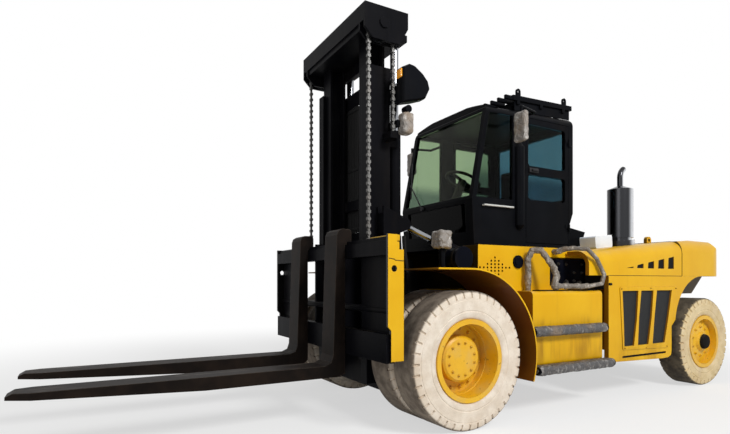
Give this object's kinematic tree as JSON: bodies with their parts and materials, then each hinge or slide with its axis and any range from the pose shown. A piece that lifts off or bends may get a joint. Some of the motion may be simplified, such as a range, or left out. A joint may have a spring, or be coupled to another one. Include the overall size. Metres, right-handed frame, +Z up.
{
  "type": "heavy forklift truck",
  "caption": "Heavy counterbalance forklift with a telescopic mast, twin drive tyres, rear steering, an enclosed cab and long forks.",
  "frame": {"origin": "middle of the footprint on the ground, halfway between the fork tips and the counterweight's rear face", "axes": "+X forward along the forks, +Y to the left, +Z up; the drive wheels and the steer wheels spin about Y"},
  "size_m": [7.32, 2.5098, 3.544],
  "materials": {
    "frame": "satin",
    "drive_axle": "satin",
    "fenders": "satin",
    "deck": "satin",
    "side_tanks": "satin",
    "steps": "satin",
    "battery_boxes": "satin",
    "grab_rails": "satin",
    "side_panels": "satin",
    "grilles": "satin",
    "hood_sides": "satin",
    "counterweight": "satin",
    "engine": "satin",
    "cab_shell": "satin",
    "cab_windows": "tinted",
    "roof_guard": "satin",
    "seat": "satin",
    "controls": "satin",
    "mirrors": "satin",
    "muffler": "satin",
    "header_tank": "satin",
    "air_tank": "satin",
    "lamps": "satin",
    "steer_axle": "satin",
    "hood_lid": "satin",
    "door_left": "satin",
    "door_right": "satin",
    "door_glass_left": "tinted",
    "door_glass_right": "tinted",
    "knuckle_left": "satin",
    "knuckle_right": "satin",
    "steer_rod": "polished",
    "mast_outer": "satin",
    "lift_barrels": "satin",
    "mast_lamps": "satin",
    "work_lamps": "satin",
    "mast_inner": "satin",
    "lift_rods": "polished",
    "sheaves": "satin",
    "chains_front": "satin",
    "chains_rear": "satin",
    "carriage": "satin",
    "carriage_ends": "satin",
    "fork_left": "satin",
    "fork_right": "satin",
    "tilt_barrels": "satin",
    "tilt_rods": "polished",
    "drive_tyres_left": "satin",
    "steer_tyre_left": "satin",
    "drive_rims_left": "satin",
    "steer_rim_left": "satin",
    "drive_tyres_right": "satin",
    "steer_tyre_right": "satin",
    "drive_rims_right": "satin",
    "steer_rim_right": "satin"
  },
  "bodies": {
    "chassis": {"frame": "frame", "drive_axle": "drive_axle", "fenders": "fenders", "deck": "deck", "side_tanks": "side_tanks", "steps": "steps", "battery_boxes": "battery_boxes", "grab_rails": "grab_rails", "side_panels": "side_panels", "grilles": "grilles", "hood_sides": "hood_sides", "counterweight": "counterweight", "engine": "engine", "cab_shell": "cab_shell", "cab_windows": "cab_windows", "roof_guard": "roof_guard", "seat": "seat", "controls": "controls", "mirrors": "mirrors", "muffler": "muffler", "header_tank": "header_tank", "air_tank": "air_tank", "lamps": "lamps", "steer_axle": "steer_axle"},
    "hood": {"hood_lid": "hood_lid"},
    "door_left": {"door_left": "door_left", "door_glass_left": "door_glass_left"},
    "door_right": {"door_right": "door_right", "door_glass_right": "door_glass_right"},
    "knuckle_left": {"knuckle_left": "knuckle_left"},
    "knuckle_right": {"knuckle_right": "knuckle_right"},
    "steer_rod": {"steer_rod": "steer_rod"},
    "wheel_front_left": {"drive_tyres_left": "drive_tyres_left", "drive_rims_left": "drive_rims_left"},
    "wheel_front_right": {"drive_tyres_right": "drive_tyres_right", "drive_rims_right": "drive_rims_right"},
    "wheel_rear_left": {"steer_tyre_left": "steer_tyre_left", "steer_rim_left": "steer_rim_left"},
    "wheel_rear_right": {"steer_tyre_right": "steer_tyre_right", "steer_rim_right": "steer_rim_right"},
    "mast_outer": {"mast_outer": "mast_outer", "lift_barrels": "lift_barrels", "mast_lamps": "mast_lamps", "work_lamps": "work_lamps", "chains_rear": "chains_rear"},
    "mast_inner": {"mast_inner": "mast_inner", "lift_rods": "lift_rods", "sheaves": "sheaves", "chains_front": "chains_front"},
    "carriage": {"carriage": "carriage", "carriage_ends": "carriage_ends"},
    "fork_left": {"fork_left": "fork_left"},
    "fork_right": {"fork_right": "fork_right"},
    "tilt_barrels": {"tilt_barrels": "tilt_barrels"},
    "tilt_rods": {"tilt_rods": "tilt_rods"}
  },
  "joints": [
    {"name": "front_wheel_left", "type": "hinge", "parent": "chassis", "child": "wheel_front_left", "pos_m": [0.54, 1.1, 0.56], "axis": [0, 1, 0], "continuous": true},
    {"name": "front_wheel_right", "type": "hinge", "parent": "chassis", "child": "wheel_front_right", "pos_m": [0.54, -1.1, 0.56], "axis": [0, 1, 0], "continuous": true},
    {"name": "steer_left", "type": "hinge", "parent": "chassis", "child": "knuckle_left", "pos_m": [-3.03, 0.89, 0.5], "axis": [0, 0, 1], "range_deg": [-60, 60]},
    {"name": "steer_right", "type": "hinge", "parent": "chassis", "child": "knuckle_right", "pos_m": [-3.03, -0.89, 0.5], "axis": [0, 0, 1], "range_deg": [-60, 60]},
    {"name": "rear_wheel_left", "type": "hinge", "parent": "knuckle_left", "child": "wheel_rear_left", "pos_m": [-3.03, 1.045, 0.5], "axis": [0, 1, 0], "continuous": true},
    {"name": "rear_wheel_right", "type": "hinge", "parent": "knuckle_right", "child": "wheel_rear_right", "pos_m": [-3.03, -1.045, 0.5], "axis": [0, 1, 0], "continuous": true},
    {"name": "steer_rod_slide", "type": "slide", "parent": "chassis", "child": "steer_rod", "axis": [0, 1, 0], "range_m": [-0.148, 0.148]},
    {"name": "mast_tilt", "type": "hinge", "parent": "chassis", "child": "mast_outer", "pos_m": [0.74, 0, 0.43], "axis": [0, 1, 0], "range_deg": [-10, 6]},
    {"name": "mast_lift", "type": "slide", "parent": "mast_outer", "child": "mast_inner", "axis": [0, 0, 1], "range_m": [-0.17, 1.45], "deforming": ["chains_rear"]},
    {"name": "carriage_lift", "type": "slide", "parent": "mast_inner", "child": "carriage", "axis": [0, 0, 1], "range_m": [-0.17, 1.45], "deforming": ["chains_front"]},
    {"name": "fork_left_shift", "type": "slide", "parent": "carriage", "child": "fork_left", "axis": [0, 1, 0], "range_m": [-0.25, 0.51]},
    {"name": "fork_right_shift", "type": "slide", "parent": "carriage", "child": "fork_right", "axis": [0, -1, 0], "range_m": [-0.25, 0.51]},
    {"name": "tilt_barrel_swing", "type": "hinge", "parent": "chassis", "child": "tilt_barrels", "pos_m": [-0.08, 0, 1.4], "axis": [0, 1, 0], "range_deg": [-5.2, 3.2]},
    {"name": "tilt_rod_slide", "type": "slide", "parent": "tilt_barrels", "child": "tilt_rods", "axis": [0.9391, 0, 0.3436], "range_m": [-0.212, 0.128]},
    {"name": "door_left_swing", "type": "hinge", "parent": "chassis", "child": "door_left", "pos_m": [-1.418, 0.612, 2.2], "axis": [0, 0, 1], "range_deg": [0, 80]},
    {"name": "door_right_swing", "type": "hinge", "parent": "chassis", "child": "door_right", "pos_m": [-1.418, -0.612, 2.2], "axis": [0, 0, -1], "range_deg": [0, 80]},
    {"name": "hood_lift", "type": "hinge", "parent": "chassis", "child": "hood", "pos_m": [-2.657, 0, 1.662], "axis": [0, -1, 0], "range_deg": [0, 60]}
  ],
  "couplings": [
    {"joint": "steer_right", "follows": "steer_left", "ratio": 1},
    {"joint": "steer_rod_slide", "follows": "steer_left", "m_per_rad": -0.1404},
    {"joint": "carriage_lift", "follows": "mast_lift", "ratio": 1},
    {"joint": "tilt_barrel_swing", "follows": "mast_tilt", "ratio": 0.5},
    {"joint": "tilt_rod_slide", "follows": "mast_tilt", "m_per_rad": 1.2}
  ]
}
